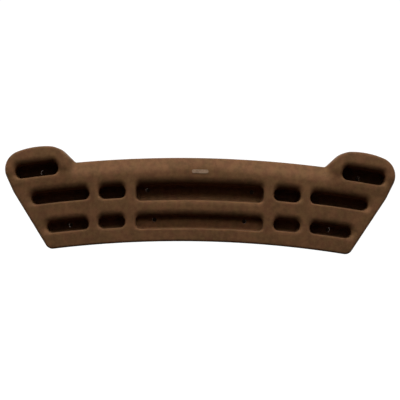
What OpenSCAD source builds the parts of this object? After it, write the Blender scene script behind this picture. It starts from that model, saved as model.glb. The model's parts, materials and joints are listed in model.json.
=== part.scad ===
// Hangboard (climbers' fingerboard): a cast resin board with twelve holds, steel
// washers cast in behind its screw holes, and a small badge let into the top rail.
// +Z is up, the flat back lies on the plane Y = 0 and the front faces -Y.
// Edges and rows of holds are arcs about one axis, far below the board.

/* [Board] */
// Overall length from horn tip to horn tip
board_l = 610; // [590:1:760]
// Height of the arched band between its two edges
band_h = 131; // [120:1:165]
// Radius of the arched top edge
arch_r = 1790; // [1400:10:2600]
// Thickness from the back to the front of the top rail
rail_d = 52; // [44:1:66]
// Thickness at the bottom edge
foot_d = 44; // [38:1:56]
// Thickness at the top edge of the band, where the rail slopes back
brow_d = 37; // [28:1:42]
// Height of the slope between the top edge and the rail's front
brow_h = 17; // [10:1:22]

/* [Horns] */
// Thickness of the horns that carry the jugs
horn_d = 57; // [50:1:72]
// Radius of the horn's outer lobe
tip_r = 29.7; // [26:0.1:36]
// Radius of the horn's inner lobe
shoulder_r = 33; // [28:0.5:38]
// Distance between the centres of the two lobes
lobe_gap = 35.5; // [20:0.5:60]
// Radius of the roll along the horn's upper front edge
horn_roll = 24; // [10:1:28]
// Slope of the horn's inner flank where it meets the band
inner_slope = 42; // [35:1:60]
// Radius of the hollow between that flank and the top edge
notch_r = 9; // [4:0.5:14]

/* [Flanks] */
// Lean of the board's ends away from upright
flank_lean = 32.7; // [20:0.1:40]
// Height of the bend between the end and the horn, above mid-height
hip_z = 6.5; // [0:0.5:15]
// Distance of that bend inside the horn's tip
hip_inset = 13.5; // [8:0.5:20]
// Radius of the bottom corners
corner_r = 9; // [4:0.5:16]

/* [Holds] */
// Depth of the upper row's centre line below the top edge
upper_drop = 48; // [44:0.5:54]
// Depth of the lower row's centre line below the top edge
lower_drop = 95; // [88:0.5:100]
// Depth of the jugs' centre line below the arch of the top edge
jug_drop = 1.8; // [0:0.1:8]
// Half length of the two middle slots
slot_half = 100.5; // [80:0.5:112]
// Height of the upper middle slot
slot_upper_h = 31; // [24:0.5:34]
// Height of the lower middle slot
slot_lower_h = 27; // [20:0.5:30]
// Corner radius of the middle slots
slot_corner = 8; // [4:0.5:10]
// Rib between the middle slots and the inner pockets
inner_rib = 15.5; // [10:0.5:24]
// Length of the inner pockets
inner_l = 43; // [30:0.5:52]
// Height of the inner pockets
inner_h = 24; // [18:0.5:26]
// Rib between the inner and the outer pockets
outer_rib = 14; // [10:0.5:22]
// Height of the outer pockets
outer_h = 22.5; // [18:0.5:26]
// Wall between an outer pocket and the board's end, measured square to it
outer_rim = 18.5; // [12:0.5:26]
// Length of the jug pockets
jug_l = 69; // [56:0.5:76]
// Height of the jug pockets
jug_h = 25; // [20:0.5:30]
// Wall between the jug pocket and the horn's tip
jug_rim = 14; // [10:0.5:20]
// Width of the bevel round each hold's mouth
mouth = 3.5; // [1:0.5:4.5]

/* [Floors] */
// Resin left behind the upper middle slot
slot_upper_floor = 21; // [16:1:26]
// Resin left behind the lower middle slot
slot_lower_floor = 25; // [16:1:30]
// Resin left behind the upper inner pockets
inner_upper_floor = 12; // [8:1:24]
// Resin left behind the lower inner pockets
inner_lower_floor = 19; // [8:1:28]
// Resin left behind the upper outer pockets
outer_upper_floor = 16; // [8:1:24]
// Resin left behind the lower outer pockets
outer_lower_floor = 18; // [12:1:26]
// Resin left behind the jugs
jug_floor = 14; // [12:1:24]

/* [Screw holes] */
// Diameter of the screw holes
screw_hole_d = 7; // [5:0.5:9]
// Distance of the upper slot's holes from the middle
slot_upper_screw = 82.4; // [60:0.5:88]
// Distance of the lower slot's holes from the middle
slot_lower_screw = 70.9; // [50:0.5:88]
// Distance from the outer pocket's inner end to its hole
outer_screw = 31; // [14:0.5:34]
// Distance from the jug's outer end to its hole
jug_screw = 41; // [20:0.5:48]
// How far the holes sit below the middle slots' and outer pockets' centre lines
screw_drop = 2; // [0:0.5:5]
// How far the jug's hole sits below the jug's centre line
jug_screw_drop = 8; // [0:0.5:8.5]

/* [Washers] */
// Outer diameter of the cast-in washers
washer_d = 18; // [12:0.5:24]
// Thickness of the cast-in washers
washer_t = 1.6; // [1:0.1:3]
// Resin between a hold's floor and its washer
washer_cover = 3; // [1.5:0.5:5]

/* [Badge] */
// Length of the badge on the top rail
badge_l = 26; // [16:1:40]
// Height of the badge
badge_h = 6; // [4:0.5:9]
// Thickness of the badge
badge_t = 1.2; // [0.8:0.1:2]
// How far the badge stands proud of the rail
badge_proud = 0.3; // [0.1:0.1:0.6]
// Distance between the slope of the top edge and the badge
badge_gap = 1; // [0.5:0.1:3]

/* [Hidden] */
$fn = 64;
arc_fn = 720;
reach = 20;  // how far cutting shapes stand past what they cut
seam = 0.05;  // how far a round stands past the straight that it runs into
arch_z = band_h / 2 - arch_r;  // height of the arches' axis
arch_c = [0, arch_z];
foot_r = arch_r - band_h;
upper_r = arch_r - upper_drop;
lower_r = arch_r - lower_drop;
jug_r = arch_r - jug_drop;
half_l = board_l / 2;

// the point at level distance x from the middle, on the arch of radius r
function on_arch(x, r) = [x, arch_z + sqrt(r * r - x * x)];
function polar(c, r, a) = c + r * [cos(a), sin(a)];
// normal of the line that touches two circles, the second at angle to the first
function touch_normal(c1, r1, c2, r2, way) =
    atan2(c2.y - c1.y, c2.x - c1.x) + way * acos((r1 - r2) / norm(c2 - c1));
// where the line through p with its normal at angle a, moved out, meets the arch r
function line_on_arch(p, a, out, r, way) =
    let (n = [cos(a), sin(a)], k = (p - arch_c) * n + out)
    arch_c + k * n + way * sqrt(r * r - k * k) * [-n.y, n.x];

// horn outline: two lobes, the straight top between them and the two flanks
tip_c = on_arch(half_l - tip_r, jug_r);
shoulder_c = on_arch(half_l - tip_r - lobe_gap, jug_r);
hip = [half_l - hip_inset, hip_z];
top_normal = touch_normal(tip_c, tip_r, shoulder_c, shoulder_r, -1);
tip_normal = touch_normal(tip_c, tip_r, hip, 0, 1);
slope_normal = 90 + inner_slope;
slope_top = polar(shoulder_c, shoulder_r - seam, slope_normal);
notch = line_on_arch(slope_top, slope_normal, 0, arch_r, -1);
notch_c = line_on_arch(slope_top, slope_normal, notch_r - seam, arch_r + notch_r - seam, -1);

// board end: the leaning line below the hip, and its rounded bottom corner
end_foot = line_on_arch(hip, -flank_lean, 0, foot_r, 1);
corner_c = line_on_arch(hip, -flank_lean, seam - corner_r, foot_r + corner_r - seam, 1);

// holds: where each one starts and ends, level with the middle of its row
inner_start = slot_half + inner_rib;
inner_end = inner_start + inner_l;
outer_start = inner_end + outer_rib;
upper_end = line_on_arch(hip, -flank_lean, -outer_rim, upper_r, 1).x;
lower_end = line_on_arch(hip, -flank_lean, -outer_rim, lower_r, 1).x;
jug_end = half_l - jug_rim;
jug_start = jug_end - jug_l;

// thickness of the board's front face at radius r
function face_d(r) = foot_d + (rail_d - foot_d) * (r - foot_r) / (band_h - brow_h);

// each hold: its two ends level with the middle, the arch of its row, its height and
// corner radius, the resin left behind its floor and the board's thickness there
upper_face = face_d(upper_r);
lower_face = face_d(lower_r);
MIDDLE_HOLDS = [
    [-slot_half, slot_half, upper_r, slot_upper_h, slot_corner, slot_upper_floor, upper_face],
    [-slot_half, slot_half, lower_r, slot_lower_h, slot_corner, slot_lower_floor, lower_face]
];
PAIRED_HOLDS = [
    [inner_start, inner_end, upper_r, inner_h, inner_h / 2, inner_upper_floor, upper_face],
    [inner_start, inner_end, lower_r, inner_h, inner_h / 2, inner_lower_floor, lower_face],
    [outer_start, upper_end, upper_r, outer_h, outer_h / 2, outer_upper_floor, upper_face],
    [outer_start, lower_end, lower_r, outer_h, outer_h / 2, outer_lower_floor, lower_face],
    [jug_start, jug_end, jug_r, jug_h, jug_h / 2, jug_floor, horn_d]
];

// each screw hole: distance from the middle, arch radius, resin behind the floor
JUG_HOLE = [jug_end - jug_screw, jug_r - jug_screw_drop, jug_floor];
OUTER_HOLE = [outer_start + outer_screw, lower_r - screw_drop, outer_lower_floor];
UPPER_HOLE = [slot_upper_screw, upper_r - screw_drop, slot_upper_floor];
LOWER_HOLE = [slot_lower_screw, lower_r - screw_drop, slot_lower_floor];
SCREW_HOLES = [JUG_HOLE, OUTER_HOLE, UPPER_HOLE, LOWER_HOLE];

// stands a drawing in X and Z upright, from one distance in front of the back to another
module upright(from, to) {
    translate([0, -from, 0]) rotate([90, 0, 0]) linear_extrude(to - from) children();
}

// turns a drawing of radius and thickness about the arches' axis, from angle a0 to a1
module along_arch(a0, a1) {
    translate([0, 0, arch_z]) rotate([90, 0, 0]) rotate([0, 0, 90 - a1])
        rotate_extrude(angle = a1 - a0, $fn = arc_fn) children();
}

// a round peg or a cone at radius r and angle a of the arches
module peg(r, a, from, to, r1, r2) {
    translate([r * sin(a), -from, arch_z + r * cos(a)]) rotate([90, 0, 0])
        cylinder(h = to - from, r1 = r1, r2 = r2);
}

module both_sides() {
    children();
    mirror([1, 0, 0]) children();
}

module band_shape() {
    deep = end_foot.y - reach;
    right = [
        [end_foot.x - reach * tan(flank_lean), deep], hip, [hip.x, hip.y + 1],
        [slope_top.x, arch_r + arch_z]
    ];
    left = [for (i = [len(right) - 1 : -1 : 0]) [-right[i].x, right[i].y]];
    corner_far = end_foot + 2 * (end_foot - corner_c);
    difference() {
        intersection() {
            translate(arch_c) circle(arch_r, $fn = arc_fn);
            polygon(concat(right, left));
        }
        translate(arch_c) circle(foot_r, $fn = arc_fn);
        both_sides() difference() {
            polygon([
                corner_c, polar(corner_c, corner_r, -flank_lean), corner_far,
                corner_c + corner_r * (arch_c - corner_c) / norm(arch_c - corner_c)
            ]);
            translate(corner_c) circle(corner_r);
        }
    }
}

module horn_shape() {
    web_inner = notch + notch_r * (notch - notch_c) / norm(notch - notch_c);
    translate(tip_c) circle(tip_r, $fn = 128);
    translate(shoulder_c) circle(shoulder_r, $fn = 128);
    polygon([
        hip, polar(tip_c, tip_r - seam, tip_normal), tip_c, polar(tip_c, tip_r - seam, top_normal),
        polar(shoulder_c, shoulder_r - seam, top_normal), shoulder_c, slope_top, notch,
        web_inner, [web_inner.x, hip.y]
    ]);
    difference() {
        polygon([
            polar(notch_c, notch_r, slope_normal + 180), web_inner,
            arch_c + arch_r * (notch_c - arch_c) / norm(notch_c - arch_c)
        ]);
        translate(notch_c) circle(notch_r);
    }
}

// thickness of the arched band: front face, rail and the slope up to the top edge
module band_profile() {
    polygon([
        [foot_r - reach, 0], [foot_r - reach, foot_d], [foot_r, foot_d],
        [arch_r - brow_h, rail_d], [arch_r, brow_d], [arch_r + reach, brow_d],
        [arch_r + reach, 0]
    ]);
}

// thickness of the horns: rolled along the top, sloping into the face below the jug
module horn_profile() {
    top = jug_r + shoulder_r;
    blend_r = upper_r + jug_h / 2;
    difference() {
        polygon([
            [foot_r, 0], [foot_r, foot_d - 1], [blend_r, face_d(blend_r) - 1],
            [jug_r - jug_h / 2 - 2 * mouth, horn_d], [top + reach, horn_d], [top + reach, 0]
        ]);
        translate([top - horn_roll + seam, horn_d - horn_roll + seam]) difference() {
            square(horn_roll + reach);
            circle(horn_roll, $fn = 128);
        }
    }
}

module casting() {
    spread = asin(half_l / foot_r);
    intersection() {
        upright(0, rail_d + 1) band_shape();
        along_arch(-spread, spread) band_profile();
    }
    both_sides() intersection() {
        upright(0, horn_d + 1) horn_shape();
        along_arch(0, spread) horn_profile();
    }
}

// the stretch between radii r0 and r1 of the arches, from angle a0 to a1
module arch_stretch(r0, r1, a0, a1) {
    far = 1.1 * arch_r;
    intersection() {
        difference() {
            circle(r1, $fn = arc_fn);
            circle(r0, $fn = arc_fn);
        }
        polygon([[0, 0], far * [sin(a0), cos(a0)], far * [sin(a1), cos(a1)]]);
    }
}

// the outline of a hold from angle a0 to a1 of the arch r, its corners rounded to c
module hold_shape(a0, a1, r, h, c) {
    turn = c / r * 180 / PI;
    side = h / 2 - c;
    translate(arch_c) {
        arch_stretch(r - h / 2, r + h / 2, a0 + turn, a1 - turn);
        if (side > 0) arch_stretch(r - side, r + side, a0, a1);
        for (a = [a0 + turn, a1 - turn], dr = side > 0 ? [-side, side] : [0])
            translate((r + dr) * [sin(a), cos(a)]) circle(c + seam);
    }
}

// a hold between level distances x0 and x1, cut from the face down to the resin behind it
module hold(place) {
    r = place[2];
    upright(place[5], place[6] + reach)
        hold_shape(asin(place[0] / r), asin(place[1] / r), r, place[3], place[4]);
}

// the bevel round a hold's mouth: along its two lips, and round its ends if they are round
module mouth_bevel(place) {
    r = place[2];
    h = place[3];
    c = place[4];
    turn = c / r * 180 / PI;
    a0 = asin(place[0] / r) + turn;
    a1 = asin(place[1] / r) - turn;
    root = place[6] - mouth - 1;
    top = place[6] + reach;
    flare = top - root - 1;
    along_arch(a0, a1) polygon([
        [r - h / 2 + 1, root], [r + h / 2 - 1, root], [r + h / 2 + flare, top],
        [r - h / 2 - flare, top]
    ]);
    if (2 * c == h) for (a = [a0, a1]) peg(r, a, root, top, c - 1 + seam, c + flare + seam);
}

// a screw hole's or a washer's round shape, between two distances from the back
module at_hole(hole, d, from, to) {
    peg(hole[1], asin(hole[0] / hole[1]), from, to, d / 2, d / 2);
}

module badge_shape(from, to) {
    r = arch_r - brow_h - badge_gap - badge_h / 2;
    reach_x = badge_l / 2 - badge_h / 2;
    upright(from, to) translate([0, arch_z + r]) {
        square([2 * reach_x, badge_h], center = true);
        for (s = [-1, 1]) translate([s * reach_x, 0]) circle(badge_h / 2);
    }
}

module board() {
    color("#5e422e") difference() {
        casting();
        for (place = MIDDLE_HOLDS) hold(place);
        both_sides() for (place = PAIRED_HOLDS) hold(place);
        for (place = MIDDLE_HOLDS) mouth_bevel(place);
        both_sides() for (place = PAIRED_HOLDS) mouth_bevel(place);
        both_sides() for (hole = SCREW_HOLES) {
            at_hole(hole, screw_hole_d, -1, hole[2] + 1);
            at_hole(hole, washer_d, hole[2] - washer_cover - washer_t, hole[2] - washer_cover);
        }
        badge_shape(rail_d - badge_t, rail_d + reach);
    }
}

module centre_badge() {
    color("#8a705a") badge_shape(rail_d - badge_t, rail_d + badge_proud);
}

module washer(hole) {
    seat = hole[2] - washer_cover;
    color("silver") difference() {
        at_hole(hole, washer_d, seat - washer_t, seat);
        at_hole(hole, screw_hole_d, seat - washer_t - 1, seat + 1);
    }
}

module left() {
    mirror([1, 0, 0]) children();
}

board();
centre_badge();
left() washer(JUG_HOLE);  // washer_jug_left
washer(JUG_HOLE);  // washer_jug_right
left() washer(OUTER_HOLE);  // washer_outer_left
washer(OUTER_HOLE);  // washer_outer_right
left() washer(UPPER_HOLE);  // washer_upper_left
washer(UPPER_HOLE);  // washer_upper_right
left() washer(LOWER_HOLE);  // washer_lower_left
washer(LOWER_HOLE);  // washer_lower_right
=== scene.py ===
import json
import math
import bpy
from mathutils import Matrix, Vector, kdtree

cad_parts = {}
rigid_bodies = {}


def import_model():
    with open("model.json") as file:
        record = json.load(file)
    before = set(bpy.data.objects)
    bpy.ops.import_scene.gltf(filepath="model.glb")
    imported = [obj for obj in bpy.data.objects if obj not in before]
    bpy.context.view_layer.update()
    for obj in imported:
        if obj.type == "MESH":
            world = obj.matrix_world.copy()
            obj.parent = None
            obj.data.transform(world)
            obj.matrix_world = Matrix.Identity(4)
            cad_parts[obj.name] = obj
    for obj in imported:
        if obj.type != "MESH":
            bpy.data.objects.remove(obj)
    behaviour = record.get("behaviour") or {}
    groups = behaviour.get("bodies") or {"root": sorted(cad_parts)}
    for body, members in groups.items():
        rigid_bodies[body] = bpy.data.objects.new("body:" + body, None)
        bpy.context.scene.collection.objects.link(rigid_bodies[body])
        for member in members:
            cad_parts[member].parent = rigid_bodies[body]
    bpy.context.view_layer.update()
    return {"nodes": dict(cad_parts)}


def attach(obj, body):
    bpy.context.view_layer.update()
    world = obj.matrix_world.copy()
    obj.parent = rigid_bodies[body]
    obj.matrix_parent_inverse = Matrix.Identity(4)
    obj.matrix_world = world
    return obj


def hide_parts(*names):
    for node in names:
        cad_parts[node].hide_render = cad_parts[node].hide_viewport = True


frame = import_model()
mm = 0.001
print("frame loaded:", len(frame["nodes"]), "CAD nodes")


def clearSelection():
    for other in bpy.context.view_layer.objects:
        other.select_set(False)


def pickOnly(thing):
    clearSelection()
    thing.select_set(True)
    bpy.context.view_layer.objects.active = thing


def nameActive(name):
    made = bpy.context.object
    made.name = name
    made.data.name = name
    return made


def applyModifier(thing, name, kind, **settings):
    pickOnly(thing)
    modifier = thing.modifiers.new(name, kind)
    for key, value in settings.items():
        setattr(modifier, key, value)
    bpy.ops.object.modifier_apply(modifier=modifier.name)


def removeThing(thing):
    mesh = thing.data
    bpy.data.objects.remove(thing)
    bpy.data.meshes.remove(mesh)


def combine(thing, tool, operation):
    # cut, join or trim a closed solid with another, which is used up
    applyModifier(thing, "combine", "BOOLEAN", object=tool, operation=operation, solver="MANIFOLD")
    removeThing(tool)


def faceOutwards(thing):
    pickOnly(thing)
    bpy.ops.object.mode_set(mode="EDIT")
    bpy.ops.mesh.select_all(action="SELECT")
    bpy.ops.mesh.remove_doubles(threshold=0.00001)
    bpy.ops.mesh.normals_make_consistent(inside=False)
    bpy.ops.object.mode_set(mode="OBJECT")


def stackedSolid(name, rings):
    # a closed solid through matching rings of points, one in front of the other
    count = len(rings[0])
    bpy.ops.mesh.primitive_circle_add(vertices=count, radius=1, fill_type="NGON")
    solid = nameActive(name)
    bpy.ops.object.mode_set(mode="EDIT")
    bpy.ops.mesh.select_all(action="SELECT")
    for i in range(len(rings) - 1):
        bpy.ops.mesh.extrude_region_move(TRANSFORM_OT_translate={"value": (0, 0, 1)})
    bpy.ops.object.mode_set(mode="OBJECT")
    for vertex in solid.data.vertices:
        turn = math.atan2(-vertex.co.x, vertex.co.y) / (2 * math.pi)
        x, depth, z = rings[round(vertex.co.z)][round(turn * count) % count]
        vertex.co = (x * mm, -depth * mm, z * mm)
    faceOutwards(solid)
    return solid


def shadeSoft(thing, degrees):
    pickOnly(thing)
    bpy.ops.object.shade_smooth_by_angle(angle=math.radians(degrees))


def ramp(value, start, end):
    # 0 before start, 1 after end, eased between
    share = min(1.0, max(0.0, (value - start) / (end - start)))
    return share * share * (3 - 2 * share)


# all in millimetres; every drop is measured down from the arched top edge
boardSizes = {
    "halfLength": 305.0,
    "archRadius": 1790.0,
    "bandHeight": 131.0,
    "tipRadius": 29.7,
    "shoulderRadius": 31.4,
    "lobeGap": 39.0,
    "lobeDrop": 1.8,
    "crownRadius": 125.0,
    "innerSlope": 43.6,
    "notchRadius": 10.0,
    "flankLean": 32.1,
    "hipInset": 13.5,
    "hipHeight": 6.5,
    "cornerRadius": 12.0,
    "railDepth": 52.0,
    "footDepth": 44.0,
    "browTilt": 29.0,
    "browEnd": 13.0,
    "crownDrop": 24.0,
    "middleReach": 42.0,
    "middleBrow": 7.0,
    "middleCrown": 5.5,
    "middleSpread": 90.0,
    "middleTilt": 3.0,
    "hornDepth": 57.0,
    "hornFall": 0.06,
    "hornFallFrom": -4.0,
    "hornStep": (196.0, 211.0),
    "hornRunOut": (0.0, 36.0),
    "edgeRoll": 3.2,
    "blankDepth": 70.0,
    "voxel": 1.0,
    "softening": 0.5,
    "softenPasses": 2,
    "creaseAngle": 50,
    "triangles": 186000,
}

# ends are level distances from the middle, on the row's centre line; throat holds the
# drops of the straight walls, and each roll outside them is (width, drop)
holdSizes = {
    "upperSlot": {
        "ends": (-100.5, 100.5), "throat": (41.0, 66.9),
        "corner": 8.0, "floor": 19.2, "incut": 3.0, "fillet": 4.5,
        "above": (13.8, 8.2), "below": (7.0, 1.2), "outer": (4.0, 1.8), "inner": (4.0, 1.8),
    },
    "lowerSlot": {
        "ends": (-100.5, 100.5), "throat": (89.5, 111.8),
        "corner": 8.0, "floor": 31.5, "incut": 6.0, "fillet": 1.5,
        "above": (10.5, 4.8), "below": (2.0, 0.2), "outer": (4.0, 1.8), "inner": (4.0, 1.8),
    },
    "innerUpper": {
        "ends": (116.0, 159.0), "throat": (40.6, 61.4),
        "corner": 9.8, "floor": 10.0, "incut": 0.0, "fillet": 6.0,
        "above": (12.0, 7.4), "below": (5.0, 0.5), "outer": (6.0, 2.4), "inner": (3.5, 1.6),
    },
    "innerLower": {
        "ends": (116.0, 159.0), "throat": (88.2, 108.0),
        "corner": 9.4, "floor": 19.0, "incut": 0.0, "fillet": 6.0,
        "above": (10.0, 5.4), "below": (4.5, 0.7), "outer": (6.0, 2.4), "inner": (3.5, 1.6),
    },
    "outerUpper": {
        "ends": (173.0, 264.5), "throat": (41.0, 59.8),
        "corner": 9.2, "floor": 14.5, "incut": 0.0, "fillet": 6.0,
        "above": (12.0, 7.4), "below": (4.0, 0.4), "outer": (11.0, 5.0), "inner": (3.5, 1.6),
    },
    "outerLower": {
        "ends": (173.0, 239.5), "throat": (88.2, 106.8),
        "corner": 9.0, "floor": 17.5, "incut": 0.0, "fillet": 6.0,
        "above": (10.0, 5.4), "below": (4.0, 0.5), "outer": (11.0, 4.6), "inner": (3.5, 1.6),
    },
    "jug": {
        "ends": (222.5, 290.0), "throat": (-5.0, 15.8),
        "corner": 9.4, "floor": 12.5, "incut": 0.0, "fillet": 3.0,
        "above": (11.4, 8.0), "below": (4.0, 0.6), "outer": (8.0, 3.8), "inner": (6.8, 3.2),
    },
}

# how the rolls round a mouth run on: inDrop is the fall inside the throat, overrun the
# share of its width that a roll may cover, and steepest how near it comes to upright;
# past, above and below are how far from the throat the face is worked out for rolls
mouthSizes = {
    "inDrop": 12.0,
    "overrun": 1.1,
    "steepest": 0.98,
    "past": 20.0,
    "above": 20.0,
    "below": 12.0,
}

archRadius = boardSizes["archRadius"]
archHeight = boardSizes["bandHeight"] / 2 - archRadius


def onArch(level, radius):
    return Vector((level, archHeight + math.sqrt(radius * radius - level * level)))


def aroundPoint(centre, radius, degrees):
    angle = math.radians(degrees)
    return centre + radius * Vector((math.cos(angle), math.sin(angle)))


def arcPoints(centre, radius, start, end, count):
    return [aroundPoint(centre, radius, start + (end - start) * i / count) for i in range(count + 1)]


def turnOf(direction):
    return math.degrees(math.atan2(direction.y, direction.x))


def circleCorner(first, firstReach, second, secondReach):
    # the point below both centres that lies at the given reach from each
    across = second - first
    along = (across.length ** 2 + firstReach ** 2 - secondReach ** 2) / (2 * across.length)
    aside = math.sqrt(firstReach ** 2 - along ** 2)
    unit = across.normalized()
    return first + along * unit + aside * Vector((-unit.y, unit.x))


def lineOnArch(point, degrees, out, radius, way):
    # where the line through the point, its normal turned by degrees, crosses an arch
    angle = math.radians(degrees)
    normal = Vector((math.cos(angle), math.sin(angle)))
    middle = Vector((0.0, archHeight))
    away = (point - middle).dot(normal) + out
    along = way * math.sqrt(radius * radius - away * away)
    return middle + away * normal + along * Vector((-normal.y, normal.x))


outlineSteps = {"rail": 60, "notch": 8, "shoulder": 20, "crown": 16, "tip": 36, "corner": 14, "foot": 70}


def boardOutline():
    s = boardSizes
    steps = outlineSteps
    lobeRadius = archRadius - s["lobeDrop"]
    tipLevel = s["halfLength"] - s["tipRadius"]
    tip = onArch(tipLevel, lobeRadius)
    shoulder = onArch(tipLevel - s["lobeGap"], lobeRadius)
    hip = Vector((s["halfLength"] - s["hipInset"], s["hipHeight"]))
    crown = circleCorner(tip, s["crownRadius"] - s["tipRadius"],
                         shoulder, s["crownRadius"] - s["shoulderRadius"])
    shoulderTurn = turnOf(shoulder - crown)
    tipTop = turnOf(tip - crown)
    down = hip - tip
    tipTurn = math.degrees(math.atan2(down.y, down.x) + math.acos(s["tipRadius"] / down.length))
    slopeTurn = 90 + s["innerSlope"]
    slopeTop = aroundPoint(shoulder, s["shoulderRadius"], slopeTurn)
    notch = lineOnArch(slopeTop, slopeTurn, s["notchRadius"], archRadius + s["notchRadius"], -1)
    notchFoot = math.degrees(math.atan2(archHeight - notch.y, -notch.x))
    footRadius = archRadius - s["bandHeight"]
    corner = lineOnArch(hip, -s["flankLean"], -s["cornerRadius"], footRadius + s["cornerRadius"], 1)
    cornerFoot = math.degrees(math.atan2(archHeight - corner.y, -corner.x))
    notchLevel = aroundPoint(notch, s["notchRadius"], notchFoot).x
    cornerLevel = aroundPoint(corner, s["cornerRadius"], cornerFoot).x
    rail, foot = steps["rail"], steps["foot"]
    right = [onArch(notchLevel * i / rail, archRadius) for i in range(1, rail)]
    right += arcPoints(notch, s["notchRadius"], notchFoot, slopeTurn - 180, steps["notch"])
    right += arcPoints(shoulder, s["shoulderRadius"], slopeTurn, shoulderTurn, steps["shoulder"])
    right += arcPoints(crown, s["crownRadius"], shoulderTurn, tipTop, steps["crown"])[1:-1]
    right += arcPoints(tip, s["tipRadius"], tipTop, tipTurn, steps["tip"])
    right += [hip]
    right += arcPoints(corner, s["cornerRadius"], -s["flankLean"], cornerFoot, steps["corner"])
    right += [onArch(cornerLevel * (1 - i / foot), footRadius) for i in range(1, foot)]
    left = [Vector((-point.x, point.y)) for point in reversed(right)]
    return [onArch(0, archRadius)] + right + [onArch(0, footRadius)] + left


def slab(name, outline, back, front):
    # an outline in X and Z pushed through from one depth to another
    return stackedSolid(name, [[(point[0], depth, point[1]) for point in outline] for depth in (back, front)])


def railDepth(level, drop):
    # the band's face: it slopes back to the top edge, and leans back towards the foot
    s = boardSizes
    middle = math.exp(-(level / s["middleReach"]) ** 2)
    browEnd = s["browEnd"] - s["middleBrow"] * middle
    crown = s["crownDrop"] - s["middleCrown"] * middle
    tilt = math.radians(s["browTilt"] - s["middleTilt"] * math.exp(-(level / s["middleSpread"]) ** 2))
    if drop >= crown:
        fall = (s["railDepth"] - s["footDepth"]) / (s["bandHeight"] - crown)
        return s["railDepth"] - fall * (drop - crown)
    turn = tilt / (crown - browEnd)
    rolled = -math.log(math.cos(min(tilt, turn * (crown - drop)))) / turn
    straight = max(0.0, browEnd - max(drop, 0.0)) * math.tan(tilt)
    return s["railDepth"] - rolled - straight


def hornExtra(level, drop):
    # how much thicker the horn is than the band; it runs out below the jug
    s = boardSizes
    depth = s["hornDepth"] - s["hornFall"] * max(0.0, drop - s["hornFallFrom"])
    thicker = max(0.0, depth - railDepth(level, drop))
    return thicker * ramp(level, *s["hornStep"]) * (1 - ramp(drop, *s["hornRunOut"]))


def rowPlace(hold):
    upper, lower = hold["throat"]
    radius = archRadius - (upper + lower) / 2
    start, end = (radius * math.asin(level / radius) for level in hold["ends"])
    return radius, (start + end) / 2, (end - start) / 2, (lower - upper) / 2


def mouthDrop(hold, level, radius):
    # how far the face rolls in round a hold's mouth
    rowRadius, middle, halfLength, halfHeight = rowPlace(hold)
    across = rowRadius * math.atan2(level[0], level[1] - archHeight) - middle
    up = radius - rowRadius
    corner = hold["corner"]
    sideways = max(0.0, abs(across) - (halfLength - corner))
    upwards = max(0.0, abs(up) - (halfHeight - corner))
    out = math.hypot(sideways, upwards)
    if out < 0.000001:
        return mouthSizes["inDrop"]
    shareUp = (upwards / out) ** 2
    overLip = hold["above"] if up > 0 else hold["below"]
    overEnd = hold["outer"] if across > 0 else hold["inner"]
    width = overLip[0] * shareUp + overEnd[0] * (1 - shareUp)
    drop = overLip[1] * shareUp + overEnd[1] * (1 - shareUp)
    bend = (width * width + drop * drop) / (2 * drop)
    into = min(width - (out - corner), width * mouthSizes["overrun"], bend * mouthSizes["steepest"])
    if into <= 0:
        return 0.0
    return bend - math.sqrt(bend * bend - into * into)


def inReach(hold, across, drop):
    s = mouthSizes
    start, end = hold["ends"]
    upper, lower = hold["throat"]
    return start - s["past"] < across < end + s["past"] and upper - s["above"] < drop < lower + s["below"]


sheetSizes = {"margin": 3.0, "step": 1.4, "edgeStep": 0.5, "edgeShare": 0.96, "back": -10.0}


def frontSurface(outline):
    # the front face as a height over X and Z, closed off behind the board's back
    s = sheetSizes
    margin = Vector((s["margin"], s["margin"]))
    low = Vector((min(p.x for p in outline), min(p.y for p in outline))) - margin
    high = Vector((max(p.x for p in outline), max(p.y for p in outline))) + margin
    columns = round((high.x - low.x) / s["step"])
    rows = round((high.y - low.y) / s["step"])
    edge = []
    for first, second in zip(outline, outline[1:] + outline[:1]):
        steps = max(1, round((second - first).length / s["edgeStep"]))
        edge += [first.lerp(second, i / steps) for i in range(steps)]
    nearest = kdtree.KDTree(len(edge))
    for index, point in enumerate(edge):
        nearest.insert((point.x, point.y, 0), index)
    nearest.balance()
    bpy.ops.mesh.primitive_grid_add(x_subdivisions=columns, y_subdivisions=rows, size=1)
    sheet = nameActive("frontSheet")
    for vertex in sheet.data.vertices:
        x = low.x + (vertex.co.x + 0.5) * (high.x - low.x)
        z = low.y + (vertex.co.y + 0.5) * (high.y - low.y)
        side = abs(x)
        radius = math.hypot(x, z - archHeight)
        drop = archRadius - radius
        depth = railDepth(side, drop) + hornExtra(side, drop)
        for hold in holdSizes.values():
            place = x if hold["ends"][0] < 0 else side
            if inReach(hold, place, drop):
                depth -= mouthDrop(hold, (place, z), radius)
        roll = boardSizes["edgeRoll"]
        out = nearest.find((x, z, 0))[2]
        if out < roll:
            depth -= roll * (1 - math.sqrt(1 - (s["edgeShare"] * (1 - out / roll)) ** 2))
        vertex.co = (x * mm, -depth * mm, z * mm)
    bpy.ops.object.mode_set(mode="EDIT")
    bpy.ops.mesh.select_all(action="SELECT")
    bpy.ops.mesh.extrude_region_move(TRANSFORM_OT_translate={"value": (0, 1, 0)})
    bpy.ops.object.mode_set(mode="OBJECT")
    for vertex in sheet.data.vertices:
        if vertex.co.y > 0.5:
            vertex.co.y = -s["back"] * mm
    faceOutwards(sheet)
    return sheet


plugSizes = {
    "top": 66.0,
    "straightTo": 50.0,
    "draft": 1.2,
    "filletSteps": 6,
    "wallSteps": 6,
    "cornerSteps": 10,
    "longStep": 1.5,
}


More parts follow.
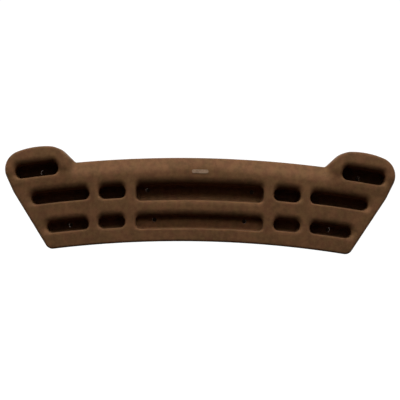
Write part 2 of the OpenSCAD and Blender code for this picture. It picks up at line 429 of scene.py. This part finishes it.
def holdPlug(name, hold, mirrored):
    # what fills a hold: a rounded floor, slightly drafted walls, bent along its row
    rowRadius, middle, halfLength, halfHeight = rowPlace(hold)
    corner = hold["corner"]
    bend = hold["fillet"]
    s = plugSizes
    rings = []
    for i in range(s["filletSteps"] + 1):
        turn = math.radians(90 * i / s["filletSteps"])
        rings.append((hold["floor"] + bend * (1 - math.cos(turn)), -bend * (1 - math.sin(turn)) - s["draft"]))
    wallFoot = hold["floor"] + bend
    for i in range(1, s["wallSteps"] + 1):
        share = i / s["wallSteps"]
        rings.append((wallFoot + (s["straightTo"] - wallFoot) * share, -s["draft"] * (1 - share)))
    rings.append((s["top"], 0.0))
    longSteps = max(4, round((halfLength - corner) / s["longStep"]))
    cornerSteps = s["cornerSteps"]
    outlinePoints = []
    coreLength, coreHeight = halfLength - corner, halfHeight - corner
    for quarter, (a, b) in enumerate(((1, 1), (-1, 1), (-1, -1), (1, -1))):
        for i in range(cornerSteps + 1):
            angle = math.radians(90 * quarter + 90 * i / cornerSteps)
            outlinePoints.append((a * coreLength, b * coreHeight, math.cos(angle), math.sin(angle)))
        if quarter in (0, 2):
            outlinePoints += [(a * coreLength * (1 - 2 * i / longSteps), b * coreHeight, 0.0, b)
                              for i in range(1, longSteps)]
    side = -1 if mirrored else 1
    stack = []
    for ring, (depth, offset) in enumerate(rings):
        points = []
        for coreAcross, coreUp, normalAcross, normalUp in outlinePoints:
            up = coreUp + (corner + offset) * normalUp
            turn = (middle + coreAcross + (corner + offset) * normalAcross) / rowRadius
            reach = rowRadius + up
            incut = hold["incut"] * up / (2 * halfHeight) if ring <= s["filletSteps"] else 0.0
            points.append((side * reach * math.sin(turn), depth + incut, archHeight + reach * math.cos(turn)))
        stack.append(points)
    return stackedSolid(name, stack)


# each screw hole: distance from the middle, drop of its centre, and the depth of
# its washer's front, as in the CAD
screwHoles = {
    "radius": 3.5,
    "washerRadius": 9.05,
    "washerThickness": 1.6,
    "drillEnds": (-5.0, 60.0),
    "corners": 48,
    "places": ((250.0, 9.8, 11.0), (204.0, 97.0, 15.0), (82.4, 50.0, 18.0), (70.9, 97.0, 22.0)),
}
badgeSeat = {"halfLength": 13.0, "radius": 3.0, "drop": 21.0, "floor": 50.8, "top": 60.0, "endSteps": 16}


def holePlace(level, drop):
    return level, onArch(abs(level), archRadius - drop).y


def screwDrill(name, level, drop, washerFront):
    # the bore, wider where the washer lies
    s = screwHoles
    x, z = holePlace(level, drop)
    washerBack = washerFront - s["washerThickness"]
    start, end = s["drillEnds"]
    rings = []
    for depth, radius in ((start, s["radius"]), (washerBack, s["radius"]), (washerBack, s["washerRadius"]),
                          (washerFront, s["washerRadius"]), (washerFront, s["radius"]), (end, s["radius"])):
        rings.append([(x + point.x, depth, z + point.y)
                      for point in arcPoints(Vector((0, 0)), radius, 0, 360, s["corners"])[:-1]])
    return stackedSolid(name, rings)


def cutBadgeSeat(board):
    s = badgeSeat
    middle = Vector((0, archHeight + archRadius - s["drop"]))
    reach = Vector((s["halfLength"] - s["radius"], 0))
    outline = arcPoints(middle + reach, s["radius"], -90, 90, s["endSteps"])
    outline += arcPoints(middle - reach, s["radius"], 90, 270, s["endSteps"])
    combine(board, slab("badgeSeat", outline, s["floor"], s["top"]), "DIFFERENCE")


def makeBoard():
    s = boardSizes
    outline = boardOutline()
    board = slab("boardShell", outline, 0, s["blankDepth"])
    combine(board, frontSurface(outline), "INTERSECT")
    print("casting blank made:", len(board.data.polygons), "faces")
    for name, hold in holdSizes.items():
        combine(board, holdPlug(name, hold, False), "DIFFERENCE")
        if hold["ends"][0] > 0:
            combine(board, holdPlug(name + "Left", hold, True), "DIFFERENCE")
    print("holds cut:", len(board.data.polygons), "faces")
    applyModifier(board, "evenOut", "REMESH", mode="VOXEL", voxel_size=s["voxel"] * mm)
    applyModifier(board, "soften", "SMOOTH", factor=s["softening"], iterations=s["softenPasses"])
    # thinned before it is drilled, so that every run thins the same mesh
    triangles = sum(len(face.vertices) - 2 for face in board.data.polygons)
    applyModifier(board, "thin", "DECIMATE", ratio=min(1.0, s["triangles"] / triangles))
    for level, drop, washerFront in screwHoles["places"]:
        for side in (-1, 1):
            combine(board, screwDrill("screwDrill", side * level, drop, washerFront), "DIFFERENCE")
    cutBadgeSeat(board)
    shadeSoft(board, s["creaseAngle"])
    print("casting finished:", triangles, "triangles before thinning,", len(board.data.polygons), "faces now")
    return board


class Wire:
    # a socket that takes part in sums; each sum adds its Math node
    def __init__(self, finish, socket):
        self.finish = finish
        self.socket = socket

    def __add__(self, other):
        return self.finish.maths("ADD", self, other)

    def __radd__(self, other):
        return self.finish.maths("ADD", other, self)

    def __mul__(self, other):
        return self.finish.maths("MULTIPLY", self, other)

    def __rmul__(self, other):
        return self.finish.maths("MULTIPLY", other, self)


class Finish:
    def __init__(self, name):
        self.material = bpy.data.materials.new(name)
        self.material.use_nodes = True
        self.tree = self.material.node_tree
        self.shader = self.tree.nodes["Principled BSDF"]
        self.place = self.node("ShaderNodeTexCoord", {}, {}, "Object")

    def feed(self, socket, value):
        if isinstance(value, Wire):
            self.tree.links.new(value.socket, socket)
        else:
            socket.default_value = value

    def node(self, kind, settings, values, output=0):
        made = self.tree.nodes.new(kind)
        for key, value in settings.items():
            setattr(made, key, value)
        for key, value in values.items():
            self.feed(made.inputs[key], value)
        return Wire(self, made.outputs[output])

    def maths(self, operation, first, second):
        return self.node("ShaderNodeMath", {"operation": operation}, {0: first, 1: second})

    def noise(self, scale, detail=2.0, roughness=0.5):
        return self.node("ShaderNodeTexNoise", {}, {
            "Vector": self.place, "Scale": scale, "Detail": detail, "Roughness": roughness})

    def between(self, value, low, high, outLow=0.0, outHigh=1.0):
        return self.node("ShaderNodeMapRange", {"interpolation_type": "SMOOTHSTEP"}, {
            0: value, 1: low, 2: high, 3: outLow, 4: outHigh})

    def blend(self, share, first, second):
        return self.node("ShaderNodeMix", {"data_type": "RGBA"}, {0: share, 6: first, 7: second}, 2)

    def bump(self, height, strength, distance):
        return self.node("ShaderNodeBump", {}, {
            "Height": height, "Strength": strength, "Distance": distance})

    def set(self, **values):
        for key, value in values.items():
            self.feed(self.shader.inputs[key.replace("_", " ")], value)

    def clearBehind(self):
        # the surface shows only from its front
        behind = self.node("ShaderNodeNewGeometry", {}, {}, "Backfacing")
        clear = self.node("ShaderNodeBsdfTransparent", {}, {})
        front = Wire(self, self.shader.outputs[0])
        oneSided = self.node("ShaderNodeMixShader", {}, {0: behind, 1: front, 2: clear})
        self.feed(self.tree.nodes["Material Output"].inputs[0], oneSided)


resinLook = {
    "dark": (0.088, 0.037, 0.0135, 1),
    "light": (0.172, 0.081, 0.0305, 1),
    "reddish": (0.178, 0.065, 0.0300, 1),
    "greenish": (0.112, 0.062, 0.0200, 1),
    "grit": (0.170, 0.083, 0.034, 1),
    "roughness": (0.72, 0.9),
}


def resinFinish():
    look = resinLook
    resin = Finish("castResin")
    cloudy = resin.between(resin.noise(16, 3), 0.3, 0.7)
    mottled = resin.between(resin.noise(130, 3, 0.65), 0.34, 0.66)
    tinted = resin.between(resin.noise(60, 2), 0.38, 0.62)
    grit = resin.noise(1500, 2, 0.6)
    colour = resin.blend(cloudy * 0.35 + mottled * 0.65, look["dark"], look["light"])
    colour = resin.blend(0.26, colour, resin.blend(tinted, look["reddish"], look["greenish"]))
    colour = resin.blend(resin.between(grit, 0.35, 0.75, 0.0, 0.35), colour, look["grit"])
    low, high = look["roughness"]
    height = grit * 0.8 + resin.noise(420, 3, 0.6) * 0.6
    resin.set(Base_Color=colour, Roughness=resin.between(grit, 0.2, 0.8, low, high),
              Specular_IOR_Level=0.25, Normal=resin.bump(height, 0.5, 0.0004))
    return resin.material


badgeLook = {
    "worn": (0.205, 0.124, 0.070, 1),
    "pale": (0.285, 0.180, 0.106, 1),
    "roughness": (0.55, 0.7),
}


def badgeFinish():
    look = badgeLook
    badge = Finish("paleBadge")
    scuffed = badge.between(badge.noise(260, 3, 0.6), 0.3, 0.7)
    fine = badge.noise(1800, 2)
    low, high = look["roughness"]
    badge.set(Base_Color=badge.blend(scuffed, look["worn"], look["pale"]),
              Roughness=badge.between(fine, 0.2, 0.8, low, high), Normal=badge.bump(fine, 0.3, 0.0002))
    return badge.material


steelLook = {
    "stained": (0.20, 0.20, 0.20, 1),
    "clean": (0.29, 0.285, 0.28, 1),
    "roughness": (0.42, 0.56),
}


def washerFinish():
    look = steelLook
    steel = Finish("washerSteel")
    turned = steel.node("ShaderNodeTexWave", {"wave_type": "RINGS", "rings_direction": "Y"}, {
        "Vector": steel.place, "Scale": 900.0, "Distortion": 2.0, "Detail": 2.0})
    stain = steel.between(steel.noise(240, 3), 0.3, 0.7)
    low, high = look["roughness"]
    steel.set(Base_Color=steel.blend(stain, look["stained"], look["clean"]), Metallic=1.0,
              Roughness=steel.between(turned, 0.0, 1.0, low, high), Normal=steel.bump(turned, 0.15, 0.0001))
    return steel.material


def dress(thing, material):
    thing.data.materials.clear()
    thing.data.materials.append(material)


stageSizes = {
    "floorHeight": -0.42,
    "floorSize": 8.0,
    "patchRadius": 0.008,
    "patchGap": 0.0015,
    "patchCorners": 24,
}


def setStage(thing, finish):
    # it takes no part in the lighting of the board and vanishes from behind
    finish.clearBehind()
    dress(thing, finish.material)
    thing.visible_diffuse = False
    thing.visible_glossy = False
    thing.visible_shadow = False


def makeFloor():
    bpy.ops.mesh.primitive_plane_add(size=stageSizes["floorSize"], location=(0, 0, stageSizes["floorHeight"]))
    paper = Finish("studioPaper")
    paper.set(Base_Color=(0.9, 0.9, 0.89, 1), Roughness=0.95, Emission_Color=(1, 1, 1, 1),
              Emission_Strength=1.0)
    setStage(nameActive("studioFloor"), paper)


def makePaintedHoleShade():
    # dark patches behind each screw hole, painted shade for the holes, seen only from the front
    patches = []
    for level, drop, washerFront in screwHoles["places"]:
        for side in (-1, 1):
            x, z = holePlace(side * level, drop)
            bpy.ops.mesh.primitive_circle_add(
                vertices=stageSizes["patchCorners"], radius=stageSizes["patchRadius"], fill_type="NGON",
                location=(x * mm, stageSizes["patchGap"], z * mm), rotation=(math.pi / 2, 0, 0))
            patches.append(nameActive("paintedShadePatch"))
    for patch in patches:
        patch.select_set(True)
    bpy.ops.object.join()
    shadeBacking = nameActive("paintedShadeBacking")
    bpy.ops.object.transform_apply(location=True, rotation=True, scale=True)
    shadeFinish = Finish("paintedHoleShade")
    # near-black base colour: painted shade standing in for the shaded wall seen through the holes
    shadeFinish.set(Base_Color=(0.03, 0.028, 0.026, 1), Roughness=0.95)
    setStage(shadeBacking, shadeFinish)


# each lamp's place, its size and its power; all of them face the board
lamps = {
    "softbox": ((0, -0.7, 1.095), (1.5, 1.2), 28),
    "frontFill": ((0, -1.45, 0.68), (1.5, 0.56), 1.2),
    "backLamp": ((0.3, 1.2, 0.9), (1.2, 0.8), 10),
    "leftLamp": ((-1.3, 0.22, 0.1), (0.36, 0.8), 7),
    "rightLamp": ((1.3, 0.22, 0.1), (0.36, 0.8), 7),
    "lowLamp": ((0, 0.55, -0.38), (1.2, 0.3), 4),
}


def makeLamp(name, place, size, energy):
    light = bpy.data.lights.new(name, "AREA")
    light.shape = "RECTANGLE"
    light.size, light.size_y = size
    light.energy = energy
    lamp = bpy.data.objects.new(name, light)
    bpy.context.scene.collection.objects.link(lamp)
    lamp.visible_camera = False
    lamp.location = place
    lamp.rotation_euler = (-Vector(place)).to_track_quat("-Z", "Y").to_euler()


airLight = {"ambient": 0.003, "seenBehind": 1.05}


def makeSurroundings():
    world = bpy.data.worlds.new("studio")
    bpy.context.scene.world = world
    world.use_nodes = True
    tree = world.node_tree
    seen = tree.nodes.new("ShaderNodeLightPath")
    strength = tree.nodes.new("ShaderNodeMapRange")
    strength.inputs[3].default_value = airLight["ambient"]
    strength.inputs[4].default_value = airLight["seenBehind"]
    tree.links.new(seen.outputs["Is Camera Ray"], strength.inputs[0])
    background = tree.nodes["Background"]
    background.inputs["Color"].default_value = (1, 1, 1, 1)
    tree.links.new(strength.outputs[0], background.inputs["Strength"])


cameraSizes = {
    "sensor": 36.0,
    "distance": 2.5,
    "faceDepth": 0.045,
    "frameWidth": 0.6273,
    "roll": 1.07,
    "aim": (0.0005, -0.0004),
}


def makeCamera():
    s = cameraSizes
    lens = bpy.data.cameras.new("studioCamera")
    lens.sensor_width = s["sensor"]
    lens.lens = s["sensor"] * s["distance"] / s["frameWidth"]
    camera = bpy.data.objects.new("studioCamera", lens)
    bpy.context.scene.collection.objects.link(camera)
    camera.location = (s["aim"][0], -(s["distance"] + s["faceDepth"]), s["aim"][1])
    camera.rotation_euler = (math.pi / 2, -math.radians(s["roll"]), 0)
    bpy.context.scene.camera = camera
    bpy.context.scene.view_settings.view_transform = "Standard"


makeCamera()
makeSurroundings()
makeFloor()
makePaintedHoleShade()
for name, (place, size, energy) in lamps.items():
    makeLamp(name, place, size, energy)
print("floor, backing, light and camera made")

board = makeBoard()
dress(board, resinFinish())
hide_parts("board")
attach(board, "root")

badgeMaterial = badgeFinish()
steelMaterial = washerFinish()
for name in frame["nodes"]:
    if name.startswith("washer_"):
        dress(bpy.data.objects[name], steelMaterial)
    elif name == "centre_badge":
        dress(bpy.data.objects[name], badgeMaterial)
print("pieces dressed")

clearSelection()
